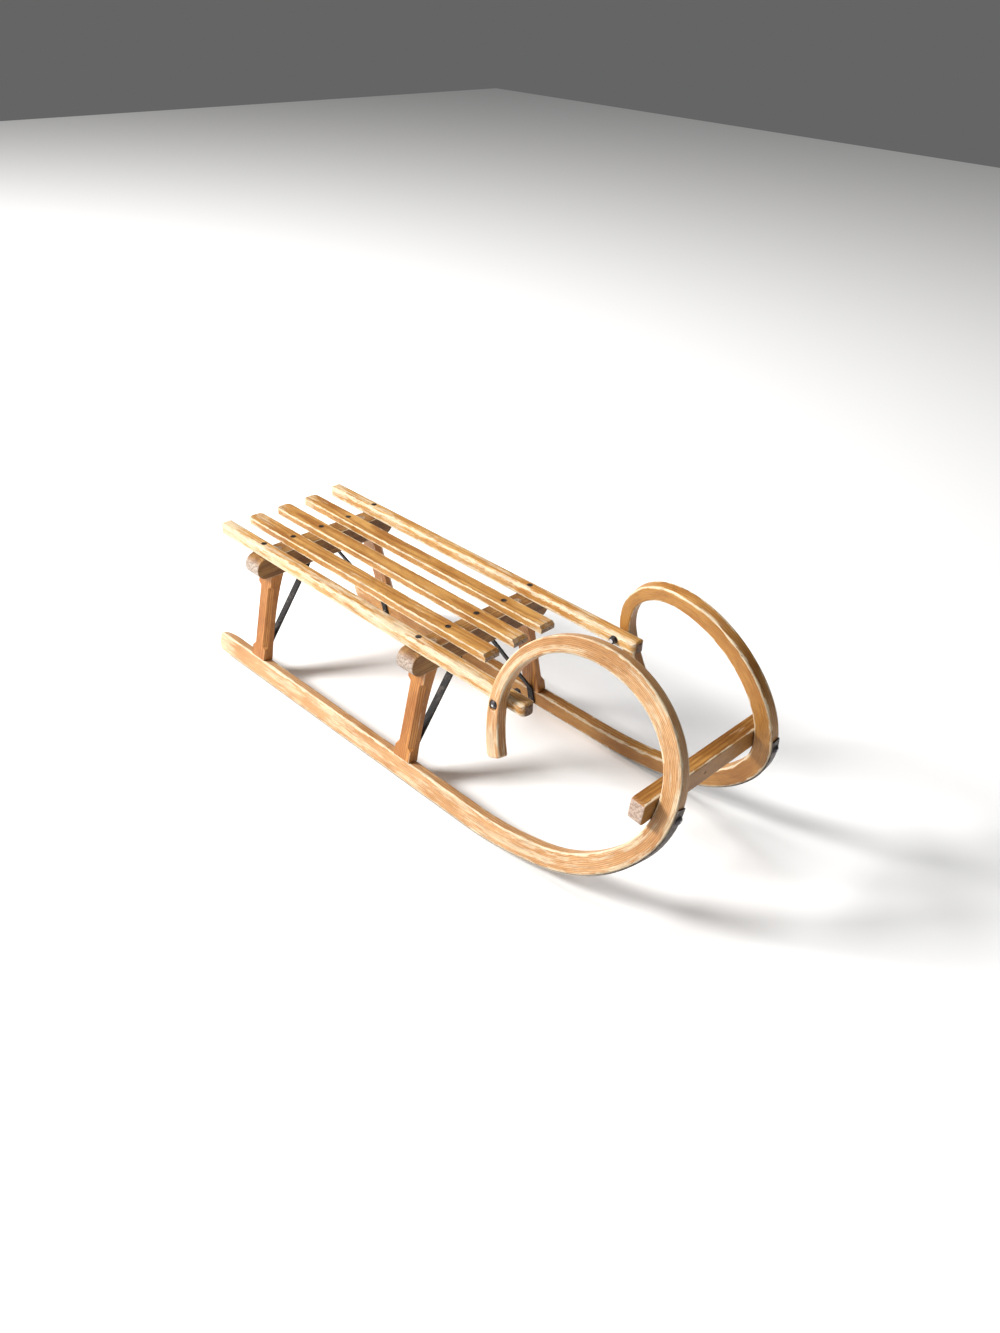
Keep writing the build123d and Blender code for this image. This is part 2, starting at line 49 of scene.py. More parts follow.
# ---- Camera ----
camera_target = (0.0322, 0.0486, 0.1546)
camera_azimuth = 43.59
camera_elevation = 33.49
camera_roll = 2.75
camera_distance = 2.0735
camera_lens = 29.58

# ---- Runner, with the sizes of the CAD source ----
MM = 0.001
ground_width = 0.383
runner_lean = radians(13.0)
runner_width = 0.0215
runner_rear = -0.3585
runner_edge = 0.0032
straight_height = 0.0395
overall_rear = -0.3655  # rear end of the seat
overall_length = 1.158
horn_bends = ((0.691, 14.6), (0.280, 40.6), (0.1745, 132.4), (0.1465, 87.7), (0.304, 16.7))
bend_heights = (
    (0, 39.5), (15, 36.5), (55, 34.0), (165, 34.5), (205, 28.0), (240, 23.0), (268, 23.5), (292, 29.0))
tip_sole_corner = 0.015
tip_top_corner = 0.008
tip_taper = 0.040
tip_taper_depth = 0.012
tip_narrowing = 0.003  # length over which both ends narrow a little
# Metres that the horn spreads outward for each metre back from its front: within 0.0001 of the CAD's.
spread_slope = 0.1415148
horn_outer_corner = 0.009
horn_inner_corner = 0.005
shoe_width = 0.017
shoe_thickness = 0.002
shoe_gap = 0.0004
bolt_rise = 0.0045
bolt_recess = 0.0086
bolt_reach = 0.020

# ---- Rows and rings of the swept runner ----
first_row = 0.045
straight_step = 0.030
straight_margin = 0.050
bend_step = 0.006
bend_margin = 0.012
tip_rows = 12
corner_points = 5
face_shares = (0.08, 0.36, 0.64, 0.92)


def middle(node):
    low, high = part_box(node)
    return (Vector(low) + Vector(high)) / 2


def half_size(node):
    low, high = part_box(node)
    return (Vector(high) - Vector(low)) / 2


origin_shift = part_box("seat_rail_right")[0][0] - overall_rear
sole_drop = (shoe_thickness + shoe_gap) * cos(runner_lean)
runner_lift = (runner_width + shoe_width) / 2 * sin(runner_lean) + sole_drop


# ---------------------------------------------------------------- nodes
class Nodes:
    """A material and short calls that add nodes to it."""

    def __init__(self, name):
        self.material = bpy.data.materials.new(name)
        self.material.use_nodes = True
        self.tree = self.material.node_tree
        self.tree.nodes.clear()
        self.shader = self.add("ShaderNodeBsdfPrincipled")
        output = self.add("ShaderNodeOutputMaterial")
        self.tree.links.new(self.shader.outputs["BSDF"], output.inputs["Surface"])

    def add(self, kind, **settings):
        node = self.tree.nodes.new(kind)
        for key, value in settings.items():
            setattr(node, key, value)
        return node

    def put(self, socket, value):
        if isinstance(value, bpy.types.NodeSocket):
            self.tree.links.new(value, socket)
        elif socket.type == "RGBA":
            socket.default_value = (*value[:3], 1.0)
        else:
            socket.default_value = value

    def math(self, operation, a, b=0.0, clamp=False):
        node = self.add("ShaderNodeMath", operation=operation, use_clamp=clamp)
        self.put(node.inputs[0], a)
        self.put(node.inputs[1], b)
        return node.outputs[0]

    def combine(self, x, y, z):
        node = self.add("ShaderNodeCombineXYZ")
        for socket, value in zip(node.inputs, (x, y, z)):
            self.put(socket, value)
        return node.outputs[0]

    def split(self, vector):
        node = self.add("ShaderNodeSeparateXYZ")
        self.put(node.inputs[0], vector)
        return node.outputs

    def dot(self, a, b):
        node = self.add("ShaderNodeVectorMath", operation="DOT_PRODUCT")
        self.put(node.inputs[0], a)
        self.put(node.inputs[1], b)
        return node.outputs["Value"]

    def minus(self, a, b):
        node = self.add("ShaderNodeVectorMath", operation="SUBTRACT")
        self.put(node.inputs[0], a)
        self.put(node.inputs[1], b)
        return node.outputs["Vector"]

    def noise(self, vector, scale, detail=3.0, roughness=0.55, distortion=0.0):
        node = self.add("ShaderNodeTexNoise")
        self.put(node.inputs["Vector"], vector)
        self.put(node.inputs["Scale"], scale)
        self.put(node.inputs["Detail"], detail)
        self.put(node.inputs["Roughness"], roughness)
        self.put(node.inputs["Distortion"], distortion)
        return node.outputs["Fac"]

    def times(self, a, b):
        return self.math("MULTIPLY", a, b)

    def plus(self, a, b):
        return self.math("ADD", a, b)

    def less(self, a, b):
        return self.math("SUBTRACT", a, b)

    def flip(self, share):
        """1 where the share is 0, and 0 where it is 1."""
        return self.math("SUBTRACT", 1.0, share)

    def ramp(self, value, low, high):
        """0 at low and 1 at high, smooth between them."""
        node = self.add("ShaderNodeMapRange", interpolation_type="SMOOTHSTEP")
        self.put(node.inputs["Value"], value)
        self.put(node.inputs["From Min"], low)
        self.put(node.inputs["From Max"], high)
        return node.outputs[0]

    def mix(self, share, a, b, blend="MIX"):
        node = self.add("ShaderNodeMix", data_type="RGBA", blend_type=blend)
        self.put(node.inputs[0], share)
        self.put(node.inputs[6], a)
        self.put(node.inputs[7], b)
        return node.outputs[2]

    def bump(self, height, distance, strength=1.0):
        node = self.add("ShaderNodeBump")
        self.put(node.inputs["Height"], height)
        self.put(node.inputs["Distance"], distance)
        self.put(node.inputs["Strength"], strength)
        self.put(self.shader.inputs["Normal"], node.outputs["Normal"])


# ---------------------------------------------------------------- wood
ring_pitch = 0.0024
drift_reach = 0.016
wobble_reach = 0.0012
late_start, late_peak = 0.25, 0.86  # part of a ring where its dark late wood begins, and is deepest
raw_wood = (0.74, 0.60, 0.41)
raw_late = (0.55, 0.36, 0.18)
grey_pores = (0.30, 0.24, 0.20)
dirt_colour = (0.09, 0.055, 0.035)
stain_colour = (0.055, 0.032, 0.022)
deep_shares = (0.58, 0.42, 0.30)  # of the dark tone, in late wood
plain_end = ((0.42, 0.30, 0.20), (0.15, 0.09, 0.055))
corner_depth = 0.414  # of a rounded edge's radius, from the square corner to the round

# Each pattern: its rate along the grain, its step from piece to piece, then scale, detail and roughness.
drift_pattern = (0.9, 3.7, 1.6, 1.0, 0.55)
wobble_pattern = (5.0, 1.0, 1.0, 3.0, 0.55)
pore_pattern = (0.020, 0.0, 2600.0, 2.0, 0.6)
fibre_pattern = (0.035, 0.0, 700.0, 3.0, 0.6)
blotch_pattern = (0.35, 1.3, 26.0, 4.0, 0.6)
rub_pattern = (0.22, 0.7, 130.0, 6.0, 0.72)
patch_pattern = (0.10, 1.0, 75.0, 7.0, 0.74)
dirt_pattern = (0.30, 2.1, 460.0, 3.0, 0.6)


def straight_grain(nodes, centre, along, across, half_across, half_up):
    """Grain coordinates of a straight piece: along it, across it and up it, and its section from -1 to 1."""
    up = Vector(along).cross(Vector(across))
    place = nodes.minus(nodes.add("ShaderNodeTexCoord").outputs["Object"], tuple(centre))
    s = nodes.dot(place, tuple(along))
    a = nodes.dot(place, tuple(across))
    b = nodes.dot(place, tuple(up))
    u = nodes.math("DIVIDE", a, half_across)
    v = nodes.math("DIVIDE", b, half_up)
    return s, a, b, u, v


def bent_grain(nodes):
    """Grain coordinates that the mesh carries."""
    grain = nodes.add("ShaderNodeAttribute", attribute_name="grain").outputs["Vector"]
    section = nodes.add("ShaderNodeAttribute", attribute_name="section").outputs["Vector"]
    s, a, b = nodes.split(grain)
    u, v = nodes.split(section)[:2]
    return s, a, b, u, v


def growth_rings(nodes, grain, pattern, pith):
    """1 in the dark late wood of each ring round the pith, and 0 in the early wood."""
    s, a, b, u, v = grain
    drift = pattern(drift_pattern)
    wobble = pattern(wobble_pattern)
    off_a = nodes.less(a, pith[0])
    off_b = nodes.less(b, pith[1])
    radius = nodes.math("SQRT", nodes.plus(nodes.times(off_a, off_a), nodes.times(off_b, off_b)))
    radius = nodes.plus(radius, nodes.times(drift, drift_reach))
    radius = nodes.plus(radius, nodes.times(wobble, wobble_reach))
    phase = nodes.math("FRACT", nodes.times(radius, 1 / ring_pitch))
    falling = nodes.flip(nodes.ramp(phase, late_peak, 1.0))
    return nodes.times(nodes.ramp(phase, late_start, late_peak), falling)


def varnished(nodes, tone, blotch, late, fibre, pore_mask):
    """Colour where the varnish holds."""
    light, dark = tone
    deep = tuple(c * k for c, k in zip(dark, deep_shares))
    colour = nodes.mix(nodes.ramp(blotch, 0.36, 0.68), light, dark)
    colour = nodes.mix(nodes.times(late, 0.62), colour, deep)
    colour = nodes.mix(nodes.times(nodes.ramp(fibre, 0.47, 0.66), 0.42), colour, deep)
    return nodes.mix(nodes.times(pore_mask, 0.45), colour, tuple(0.35 * c for c in deep))


def bare(nodes, late, fibre, pore_mask):
    """Colour where the varnish is gone."""
    colour = nodes.mix(nodes.ramp(fibre, 0.42, 0.66), raw_wood, tuple(c * 0.66 for c in raw_wood))
    colour = nodes.mix(nodes.times(pore_mask, 0.75), colour, grey_pores)
    return nodes.mix(nodes.times(late, 0.25), colour, raw_late)


def edge_gap(nodes, grain, half, rounding):
    """Distance to the nearest long edge."""
    s, a, b, u, v = grain
    gap_u = nodes.times(nodes.flip(nodes.math("ABSOLUTE", u)), half[0])
    gap_v = nodes.times(nodes.flip(nodes.math("ABSOLUTE", v)), half[1])
    gap = nodes.math("SQRT", nodes.plus(nodes.times(gap_u, gap_u), nodes.times(gap_v, gap_v)))
    return nodes.less(gap, corner_depth * rounding)


def worn_share(nodes, grain, pattern, rub, gap, wear, bleach, tips, bleached_side):
    """How far the varnish is gone, at the edges, in patches and towards the tips."""
    s, a, b, u, v = grain
    reach = nodes.times(nodes.plus(nodes.ramp(rub, 0.42, 0.64), 0.06), wear)
    edge_worn = nodes.flip(nodes.ramp(gap, nodes.times(reach, 0.45), nodes.plus(reach, 0.0004)))
    patch = pattern(patch_pattern)
    if bleached_side is not None:
        side_share = nodes.ramp(nodes.times(u, bleached_side), 0.55, 0.95)
        patch = nodes.plus(patch, nodes.times(nodes.less(side_share, 0.75), 0.10))
    if tips:
        rear, front = tips
        tip = nodes.flip(nodes.ramp(s, rear, rear + 0.09))
        tip = nodes.math("MAXIMUM", tip, nodes.ramp(s, front - 0.06, front + 0.02))
        patch = nodes.plus(patch, nodes.times(tip, 0.16))
    patch_worn = nodes.ramp(patch, 0.66 - 0.24 * bleach, 0.70 - 0.18 * bleach)
    return nodes.math("MAXIMUM", edge_worn, nodes.times(patch_worn, 0.45 + 0.4 * bleach), clamp=True)


def stained(nodes, colour, stains, rub):
    """Dark stains round screws and knots, each a point and a radius."""
    place = nodes.add("ShaderNodeTexCoord").outputs["Object"]
    for point, size in stains:
        away = nodes.add("ShaderNodeVectorMath", operation="DISTANCE")
        nodes.put(away.inputs[0], place)
        nodes.put(away.inputs[1], tuple(point))
        ring = nodes.plus(away.outputs["Value"], nodes.times(rub, 0.006))
        mask = nodes.flip(nodes.ramp(ring, size, size + 0.0045))
        colour = nodes.mix(nodes.times(mask, 0.75), colour, stain_colour)
    return colour


def with_end_grain(nodes, colour, grain, along, late, end_tone):
    """End grain on the faces that lie across the piece."""
    s, a, b, u, v = grain
    end_light, end_dark = end_tone
    normal = nodes.add("ShaderNodeNewGeometry").outputs["Normal"]
    facing = nodes.math("ABSOLUTE", nodes.dot(normal, tuple(along)))
    checks = nodes.noise(nodes.combine(0.0, a, b), 260.0, 3.0, 0.6, 0.6)
    end_colour = nodes.mix(nodes.ramp(checks, 0.36, 0.62), end_dark, end_light)
    end_colour = nodes.mix(nodes.times(late, 0.35), end_colour, end_dark)
    return nodes.mix(nodes.ramp(facing, 0.74, 0.90), colour, end_colour)


def wood(name, coordinates, along, half, tone, wear, rounding, seed, pith, stains=(), bleach=0.0,
         end_tone=plain_end, tips=None, bleached_side=None):
    """Varnished wood: growth rings round a pith, pores, blotches, worn edges and end grain."""
    nodes = Nodes(name)
    grain = coordinates(nodes)
    s, a, b, u, v = grain

    def pattern(kind):
        rate, step, scale, detail, roughness = kind
        place = nodes.combine(nodes.plus(nodes.times(s, rate), seed * step), a, b)
        return nodes.noise(place, scale, detail, roughness)

    late = growth_rings(nodes, grain, pattern, pith)
    fibre = pattern(fibre_pattern)
    pore_mask = nodes.ramp(pattern(pore_pattern), 0.56, 0.68)
    rub = pattern(rub_pattern)
    gap = edge_gap(nodes, grain, half, rounding)
    worn = worn_share(nodes, grain, pattern, rub, gap, wear, bleach, tips, bleached_side)
    colour = varnished(nodes, tone, pattern(blotch_pattern), late, fibre, pore_mask)
    colour = nodes.mix(worn, colour, bare(nodes, late, fibre, pore_mask))

    # Dents that hold dirt, most of them near the edges.
    dirt = nodes.ramp(pattern(dirt_pattern), 0.66, 0.72)
    near_edge = nodes.flip(nodes.ramp(gap, 0.002, 0.012))
    dirt = nodes.times(dirt, nodes.plus(nodes.times(near_edge, 0.6), 0.25))
    colour = nodes.mix(dirt, colour, dirt_colour)
    colour = stained(nodes, colour, stains, rub)
    if along is not None:
        colour = with_end_grain(nodes, colour, grain, along, late, end_tone)

    nodes.put(nodes.shader.inputs["Base Color"], colour)
    nodes.shader.inputs["Specular IOR Level"].default_value = 0.28
    rough = nodes.plus(nodes.times(worn, 0.26), nodes.plus(nodes.times(fibre, 0.14), 0.30))
    nodes.put(nodes.shader.inputs["Roughness"], rough)
    height = nodes.less(nodes.times(fibre, 0.8), nodes.times(pore_mask, 0.5))
    height = nodes.less(height, nodes.times(dirt, 1.2))
    height = nodes.less(height, nodes.times(worn, 0.4))
    nodes.bump(height, 0.0005, 0.8)
    return nodes.material


# ---------------------------------------------------------------- metal
rust_colour = (0.20, 0.085, 0.035)
scoured_colour = (0.50, 0.45, 0.39)
crown_colour = (0.62, 0.62, 0.64)
scour_fade = 0.09


def iron(name):
    """Black painted iron, rubbed grey and rusty in places."""
    nodes = Nodes(name)
    place = nodes.add("ShaderNodeTexCoord").outputs["Object"]
    coarse = nodes.noise(place, 60.0, 5.0, 0.65)
    fine = nodes.noise(place, 420.0, 4.0, 0.6)
    colour = nodes.mix(nodes.ramp(coarse, 0.52, 0.66), (0.010, 0.009, 0.010), (0.060, 0.050, 0.045))
    colour = nodes.mix(nodes.ramp(fine, 0.62, 0.72), colour, (0.15, 0.065, 0.030))
    nodes.put(nodes.shader.inputs["Base Color"], colour)
    nodes.put(nodes.shader.inputs["Roughness"], nodes.plus(nodes.times(fine, 0.30), 0.50))
    nodes.shader.inputs["Specular IOR Level"].default_value = 0.22
    nodes.bump(fine, 0.0003, 0.6)
    return nodes.material


def steel(name, dark, bright, rust, crown=None, scoured=None):
    """Tarnished steel. What faces along crown is rubbed bright, and what lies behind scoured is paler."""
    nodes = Nodes(name)
    place = nodes.add("ShaderNodeTexCoord").outputs["Object"]
    coarse = nodes.noise(place, 90.0, 5.0, 0.6)
    fine = nodes.noise(place, 900.0, 3.0, 0.6)
    colour = nodes.mix(nodes.ramp(coarse, 0.40, 0.66), dark, bright)
    colour = nodes.mix(nodes.times(nodes.ramp(fine, 0.52, 0.66), rust), colour, rust_colour)
    if scoured is not None:
        forward = nodes.split(place)[0]
        share = nodes.flip(nodes.ramp(forward, scoured - scour_fade, scoured))
        colour = nodes.mix(nodes.times(share, 0.75), colour, scoured_colour)
    if crown:
        normal = nodes.add("ShaderNodeNewGeometry").outputs["Normal"]
        facing = nodes.math("ABSOLUTE", nodes.dot(normal, tuple(crown)))
        colour = nodes.mix(nodes.ramp(facing, 0.955, 0.99), colour, crown_colour)
    nodes.put(nodes.shader.inputs["Base Color"], colour)
    nodes.put(nodes.shader.inputs["Roughness"], nodes.plus(nodes.times(coarse, 0.35), 0.34))
    nodes.shader.inputs["Metallic"].default_value = 0.80
    nodes.bump(fine, 0.0002, 0.4)
    return nodes.material


# ---------------------------------------------------------------- runners
def height_at(heading):
    """Height of the runner's section where it has turned by this many degrees."""
    for (low, first), (high, last) in zip(bend_heights, bend_heights[1:]):
        if heading <= high:
            return (first + (last - first) * (heading - low) / (high - low)) * MM
    return bend_heights[-1][1] * MM


def bend(distance):
    """Forward, up and heading after this distance along the bends."""
    forward, up, heading = 0.0, 0.0, 0.0
    for radius, turn in horn_bends:
        step = min(degrees(distance / radius), turn)
        forward += radius * (sin(radians(heading + step)) - sin(radians(heading)))
        up += radius * (cos(radians(heading)) - cos(radians(heading + step)))
        heading += step
        distance = max(distance - radius * radians(step), 0.0)
    return forward, up, heading


def distance_to(heading):
    """Distance along the bends to where the runner has turned by this angle."""
    distance, turned = 0.0, 0.0
    for radius, turn in horn_bends:
        distance += radius * radians(max(min(turn, heading - turned), 0.0))
        turned += turn
    return distance


bend_length = sum(radius * radians(turn) for radius, turn in horn_bends)
horn_reach = bend(distance_to(90.0))[0] + height_at(90.0) / 2
bend_start = overall_rear + overall_length - horn_reach
straight_length = bend_start - runner_rear
horn_front = bend_start + bend(distance_to(90.0))[0]
taper_radius = (tip_taper ** 2 + tip_taper_depth ** 2) / (2 * tip_taper_depth)


def runner_at(length):
    """Centre line point (forward, up), heading and outward spread, by length from the rear."""
    forward, up, heading = bend(max(length - straight_length, 0.0))
    forward += runner_rear + min(length, straight_length)
    spread = spread_slope * (horn_front - forward) if heading > 90.0 else 0.0
    return forward, up + straight_height / 2, heading, spread


def runner_point(length, inward, across):
    """Point of the right runner, by its length, the distance in from its outer face and out of the bend."""
    forward, up, heading, spread = runner_at(length)
    turn = radians(heading)
    forward += across * sin(turn)
    up -= across * cos(turn)
    inward -= spread
    side = -ground_width / 2 + inward * cos(runner_lean) + up * sin(runner_lean)
    height = runner_lift + up * cos(runner_lean) - inward * sin(runner_lean)
    return Vector((forward + origin_shift, side, height))


def drawn_in(distance, corner):
    """How far a rounded corner draws the section in, this far from the end."""
    if distance >= corner:
        return 0.0
    return corner - sqrt(corner ** 2 - (corner - distance) ** 2)


def end_steps(corner, count=8):
    """Distances from an end that follow a rounding evenly."""
    return [corner * (1 - cos(pi / 2 * i / count)) for i in range(count)]


def section_ring(half_width, low, high, inner_cut, edge):
    """Rounded rectangle as (inward, across) pairs, across running out of the bend."""
    corners = (
        (-half_width, high, 1, -1), (half_width - inner_cut, high, -1, -1),
        (half_width - inner_cut, low, -1, 1), (-half_width, low, 1, 1))
    starts = (pi, pi / 2, 0.0, -pi / 2)
    ring = []
    for (x, y, to_x, to_y), start in zip(corners, starts):
        for i in range(corner_points):
            angle = start - i * pi / 2 / (corner_points - 1)
            ring.append((x + to_x * edge + edge * cos(angle), y + to_y * edge + edge * sin(angle)))
    full = []
    for i, point in enumerate(ring):
        full.append(point)
        if i % corner_points == corner_points - 1:
            after = ring[(i + 1) % len(ring)]
            for share in face_shares:
                full.append(tuple(p + share * (q - p) for p, q in zip(point, after)))
    return full


def runner_mesh(name, side):
    """Swept runner and horn with its grain coordinates. side is 1 for the right and -1 for the left."""
    total = straight_length + bend_length
    straight_rows = ceil((straight_length - straight_margin) / straight_step)
    bend_rows = int((bend_length - bend_margin) / bend_step)
    lengths = end_steps(tip_taper, tip_rows)
    lengths += [first_row + i * straight_step for i in range(straight_rows)]
    lengths += [straight_length + i * bend_step for i in range(bend_rows)]
    lengths += [total - step for step in reversed(end_steps(horn_outer_corner))]
    vertices, grain, section, faces = [], [], [], []
    for length in lengths:
        half = height_at(runner_at(length)[2]) / 2
        from_rear, from_end = length, total - length
        low = -half + drawn_in(from_rear, tip_top_corner) + drawn_in(from_end, horn_inner_corner)
        high = half - drawn_in(from_rear, tip_sole_corner) - drawn_in(from_end, horn_outer_corner)
        inner_cut = taper_radius - sqrt(taper_radius ** 2 - max(tip_taper - from_rear, 0.0) ** 2)
        near_end = min(from_rear, from_end)
        half_width = runner_width / 2 - 0.6 * drawn_in(near_end, tip_narrowing)
        ring = section_ring(half_width, low, high, inner_cut, runner_edge)
        for inward, across in ring:
            point = runner_point(length, inward + runner_width / 2, across)
            vertices.append((point.x, side * point.y, point.z))
            grain.append((length, inward, across))
            section.append((inward / (runner_width / 2), across / half, 0.0))
    around = len(ring)
    for row in range(len(lengths) - 1):
        for i in range(around):
            j = (i + 1) % around
            face = (row * around + i, row * around + j, (row + 1) * around + j, (row + 1) * around + i)
            faces.append(face if side == -1 else face[::-1])
    for row, turn in ((0, 1), (len(lengths) - 1, -1)):
        cap = tuple(row * around + i for i in range(around))
        faces.append(cap if turn * side == 1 else cap[::-1])
    mesh = bpy.data.meshes.new(name)
    mesh.from_pydata(vertices, [], faces)
    for key, values in (("grain", grain), ("section", section)):
        attribute = mesh.attributes.new(key, "FLOAT_VECTOR", "POINT")
        attribute.data.foreach_set("vector", [c for value in values for c in value])
    mesh.polygons.foreach_set("use_smooth", [True] * len(mesh.polygons))
    mesh.update()
    piece = bpy.data.objects.new(name, mesh)
    bpy.context.scene.collection.objects.link(piece)
    for face in (mesh.polygons[0], mesh.polygons[len(mesh.polygons) - 1]):
        face.use_smooth = False
    return piece


# ---------------------------------------------------------------- materials of the pieces
def paint(node, material):
    """Give a CAD node one material."""
    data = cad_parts[node].data
    data.materials.clear()
    data.materials.append(material)


X, Y = Vector((1, 0, 0)), Vector((0, 1, 0))
honey = ((0.58, 0.31, 0.090), (0.40, 0.18, 0.040))
pale_honey = ((0.64, 0.38, 0.135), (0.50, 0.235, 0.055))
orange = ((0.58, 0.26, 0.070), (0.38, 0.145, 0.034))
peach = ((0.65, 0.385, 0.185), (0.49, 0.255, 0.100))
deep_honey = ((0.54, 0.275, 0.072), (0.36, 0.155, 0.034))
bar_tone = ((0.50, 0.25, 0.066), (0.31, 0.135, 0.030))
brown = ((0.36, 0.19, 0.055), (0.17, 0.075, 0.022))
dark_end = ((0.22, 0.13, 0.075), (0.085, 0.045, 0.025))
weathered = ((0.50, 0.41, 0.34), (0.23, 0.165, 0.125))
light_end = ((0.56, 0.44, 0.36), (0.30, 0.20, 0.15))

slat_stain = 0.0048
rail_stain = 0.0050
leg_half = (0.0205, 0.020)
bar_half = (0.0135, 0.021)
knot_heading = 152.0
knot_rise = 0.002
knot_size = 0.0006

bearers = [middle("bearer_front").x, middle("bearer_rear").x]


def straight_wood(node, along, across, half, *settings, **extras):
    """Give a straight CAD node wood whose grain runs along it. half is its half size across and up."""
    centre = middle(node)

    def grain(nodes):
        return straight_grain(nodes, centre, along, across, *half)

    paint(node, wood(node, grain, along, half, *settings, **extras))


def screw_stains(node, size):
    """Stains round the two screws in the top of a slat or rail."""
    centre, half = middle(node), half_size(node)
    return [(Vector((x, centre.y, centre.z + half.z)), size) for x in bearers]


for seed, node in enumerate(("seat_slat_right", "seat_slat_centre", "seat_slat_left"), 1):
    half = half_size(node)
    pith = (0.010 * (seed - 2), -0.030 - 0.012 * seed)
    straight_wood(node, X, Y, (half.y, half.z), honey, 0.0034, 0.0022, seed, pith,
                  stains=screw_stains(node, slat_stain), bleach=0.22, tips=(-half.x, half.x))

for seed, (node, bleach) in enumerate((("seat_rail_right", 0.85), ("seat_rail_left", 0.60)), 5):
    half = half_size(node)
    straight_wood(node, X, Y, (half.y, half.z), pale_honey, 0.0060, 0.0085, seed, (0.030, -0.060),
                  stains=screw_stains(node, rail_stain), bleach=bleach, end_tone=dark_end,
                  tips=(-half.x, 1.0))

for seed, node in enumerate(("bearer_front", "bearer_rear"), 8):
    half = half_size(node)
    straight_wood(node, Y, X, (half.x, half.z), brown, 0.0006, 0.003, seed, (0.012, 0.006),
                  bleach=0.05, end_tone=weathered)

for seed, node in enumerate(("leg_front_right", "leg_front_left", "leg_rear_right", "leg_rear_left"), 11):
    side = 1 if node.endswith("right") else -1
    along = Vector((0, side * sin(runner_lean), cos(runner_lean)))
    straight_wood(node, along, X, leg_half, orange, 0.0030, 0.0, seed, (0.024, -0.055), bleach=0.22)

straight_wood("toe_bar", Y, X, bar_half, bar_tone, 0.0035, 0.002, 17, (0.02, 0.05), bleach=0.10,
              end_tone=light_end)

knot = runner_point(straight_length + distance_to(knot_heading), runner_width, knot_rise)
bolt_low, bolt_high = [Vector(corner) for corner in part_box("horn_bolts")]


neighbours = 3
nearest = 1e-7  # keeps the share finite where two vertices meet
cutter_sides = 48


def carry_grain(source, target):
    """Give a cut mesh the grain coordinates of the mesh that it came from."""
    tree = KDTree(len(source.vertices))
    for vertex in source.vertices:
        tree.insert(vertex.co, vertex.index)
    tree.balance()
    for key in ("grain", "section"):
        values = source.attributes[key].data
        if key in target.attributes:
            target.attributes.remove(target.attributes[key])
        made = target.attributes.new(key, "FLOAT_VECTOR", "POINT")
        for vertex in target.vertices:
            near = tree.find_n(vertex.co, neighbours)
            shares = [1 / (distance + nearest) for co, index, distance in near]
            total = Vector()
            for (co, index, distance), share in zip(near, shares):
                total += Vector(values[index].vector) * share
            made.data[vertex.index].vector = total / sum(shares)


def recess(piece, side):
    """Let the horn bolt's head into the wood, as the CAD node does."""
    centre = (bolt_low + bolt_high) / 2
    mesh = bpy.data.meshes.new("cutter")
    shape = bmesh.new()
    bmesh.ops.create_cone(shape, cap_ends=True, segments=cutter_sides, radius1=bolt_recess,
                          radius2=bolt_recess, depth=bolt_reach)
    bmesh.ops.rotate(shape, verts=shape.verts, matrix=Matrix.Rotation(pi / 2, 3, "X"))
    seat = bolt_high.y - bolt_rise + bolt_reach / 2
    bmesh.ops.translate(shape, verts=shape.verts, vec=(centre.x, -side * seat, centre.z))
    shape.to_mesh(mesh)
    shape.free()
    cutter = bpy.data.objects.new("cutter", mesh)
    bpy.context.scene.collection.objects.link(cutter)
    hole = piece.modifiers.new("recess", "BOOLEAN")
    hole.operation = "DIFFERENCE"
    hole.solver = "EXACT"
    hole.object = cutter
    evaluated = piece.evaluated_get(bpy.context.evaluated_depsgraph_get())
    cut = bpy.data.meshes.new_from_object(evaluated)
    carry_grain(piece.data, cut)
    piece.modifiers.clear()
    piece.data = cut
    bpy.data.objects.remove(cutter)


for side, word in ((1, "right"), (-1, "left")):
    node = "runner_" + word
    piece = runner_mesh(node + "_wood", side)
    tone = peach if side == 1 else deep_honey
    bleach = 0.55 if side == 1 else 0.20
    knots = [(Vector((knot.x, side * knot.y, knot.z)), knot_size)] if side == -1 else []
    half = (runner_width / 2, straight_height / 2)
    material = wood(node, bent_grain, None, half, tone, 0.0050, runner_edge, 20 + side, (0.05, 0.09),
                    stains=knots, bleach=bleach, tips=(0.0, straight_length + bend_length),
                    bleached_side=-1.0)
    recess(piece, side)
    piece.data.materials.append(material)
    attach(piece, "root")
    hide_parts(node)

black_iron = iron("black_iron")
shoe_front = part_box("runner_shoe_right")[1][0]
shoe = steel("shoe", (0.045, 0.040, 0.038), (0.16, 0.15, 0.145), 0.65, scoured=shoe_front - 0.05)
screw = steel("screw", (0.035, 0.028, 0.024), (0.10, 0.085, 0.075), 0.55)
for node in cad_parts:
    if node.startswith("brace_") and node != "brace_screws":
        paint(node, black_iron)
    elif node.startswith("runner_shoe"):
        paint(node, shoe)
    elif node.endswith("screws"):
        paint(node, screw)
for node, crown in (("horn_bolts", Y), ("horn_bolt_nuts", None), ("toe_bar_screws", X)):
    paint(node, steel(node, (0.030, 0.028, 0.032), (0.12, 0.115, 0.12), 0.25, crown))

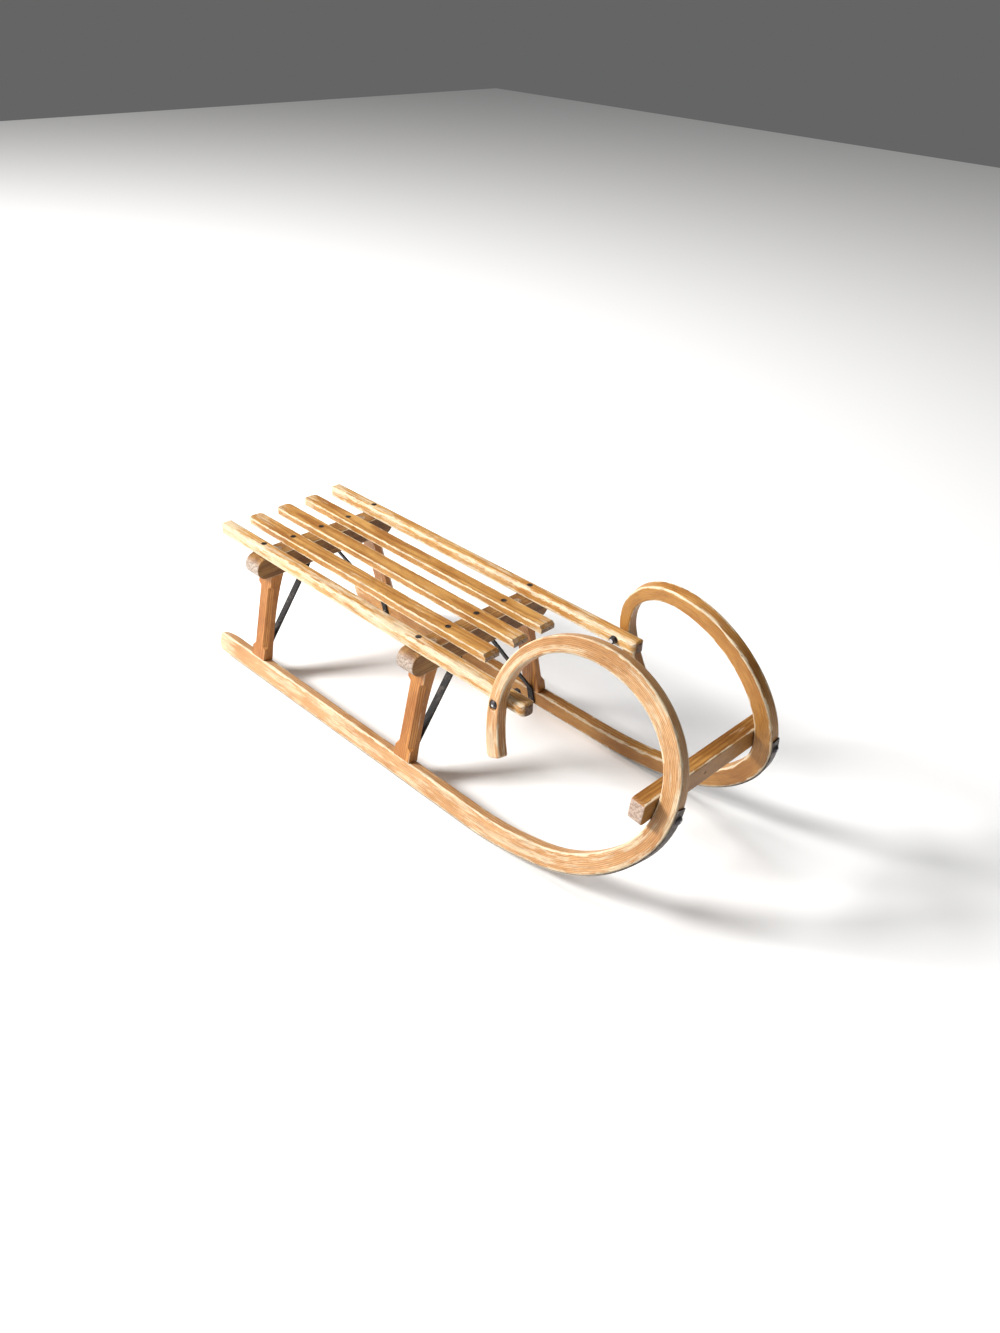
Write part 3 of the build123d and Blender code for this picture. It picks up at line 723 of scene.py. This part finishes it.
# ---------------------------------------------------------------- floor, light and camera
floor_mesh = bpy.data.meshes.new("floor")
reach = 8.0  # half of its side
corners = [(-reach, -reach, 0), (reach, -reach, 0), (reach, reach, 0), (-reach, reach, 0)]
floor_mesh.from_pydata(corners, [], [(0, 1, 2, 3)])
floor = bpy.data.objects.new("floor", floor_mesh)
bpy.context.scene.collection.objects.link(floor)
pale = Nodes("pale_floor")
pale.shader.inputs["Base Color"].default_value = (0.94, 0.94, 0.94, 1.0)
pale.shader.inputs["Roughness"].default_value = 0.9
floor.data.materials.append(pale.material)


def area_light(name, place, target, size, power, colour=(1.0, 1.0, 1.0)):
    """Square soft light at a place, aimed at a target."""
    data = bpy.data.lights.new(name, "AREA")
    data.shape = "SQUARE"
    data.size = size
    data.energy = power
    data.color = colour
    light = bpy.data.objects.new(name, data)
    light.location = place
    light.rotation_euler = (Vector(target) - Vector(place)).to_track_quat("-Z", "Y").to_euler()
    bpy.context.scene.collection.objects.link(light)


area_light("key", (-4.2, -4.4, 3.9), (0, 0, 0.15), 2.0, 880.0, (1.0, 0.985, 0.96))
area_light("top", (-1.8, -0.4, 5.4), (0, 0, 0.1), 3.0, 190.0)

world = bpy.data.worlds.new("studio")
bpy.context.scene.world = world
world.use_nodes = True
world.node_tree.nodes["Background"].inputs["Color"].default_value = (1.0, 1.0, 1.0, 1.0)
world.node_tree.nodes["Background"].inputs["Strength"].default_value = 0.13

azimuth, elevation, roll = radians(camera_azimuth), radians(camera_elevation), radians(camera_roll)
right = Vector((cos(azimuth), sin(azimuth), 0))
back = Vector((sin(azimuth) * cos(elevation), -cos(azimuth) * cos(elevation), sin(elevation)))
up = back.cross(right)
camera_right = cos(roll) * right + sin(roll) * up
camera_up = cos(roll) * up - sin(roll) * right
camera_data = bpy.data.cameras.new("camera")
camera_data.sensor_width = 36.0
camera_data.lens = camera_lens
camera_data.clip_end = 50.0
camera = bpy.data.objects.new("camera", camera_data)
turn = Matrix((camera_right, camera_up, back)).transposed()
camera.matrix_world = Matrix.Translation(Vector(camera_target) + camera_distance * back) @ turn.to_4x4()
bpy.context.scene.collection.objects.link(camera)
bpy.context.scene.camera = camera
bpy.context.scene.view_settings.view_transform = "Standard"
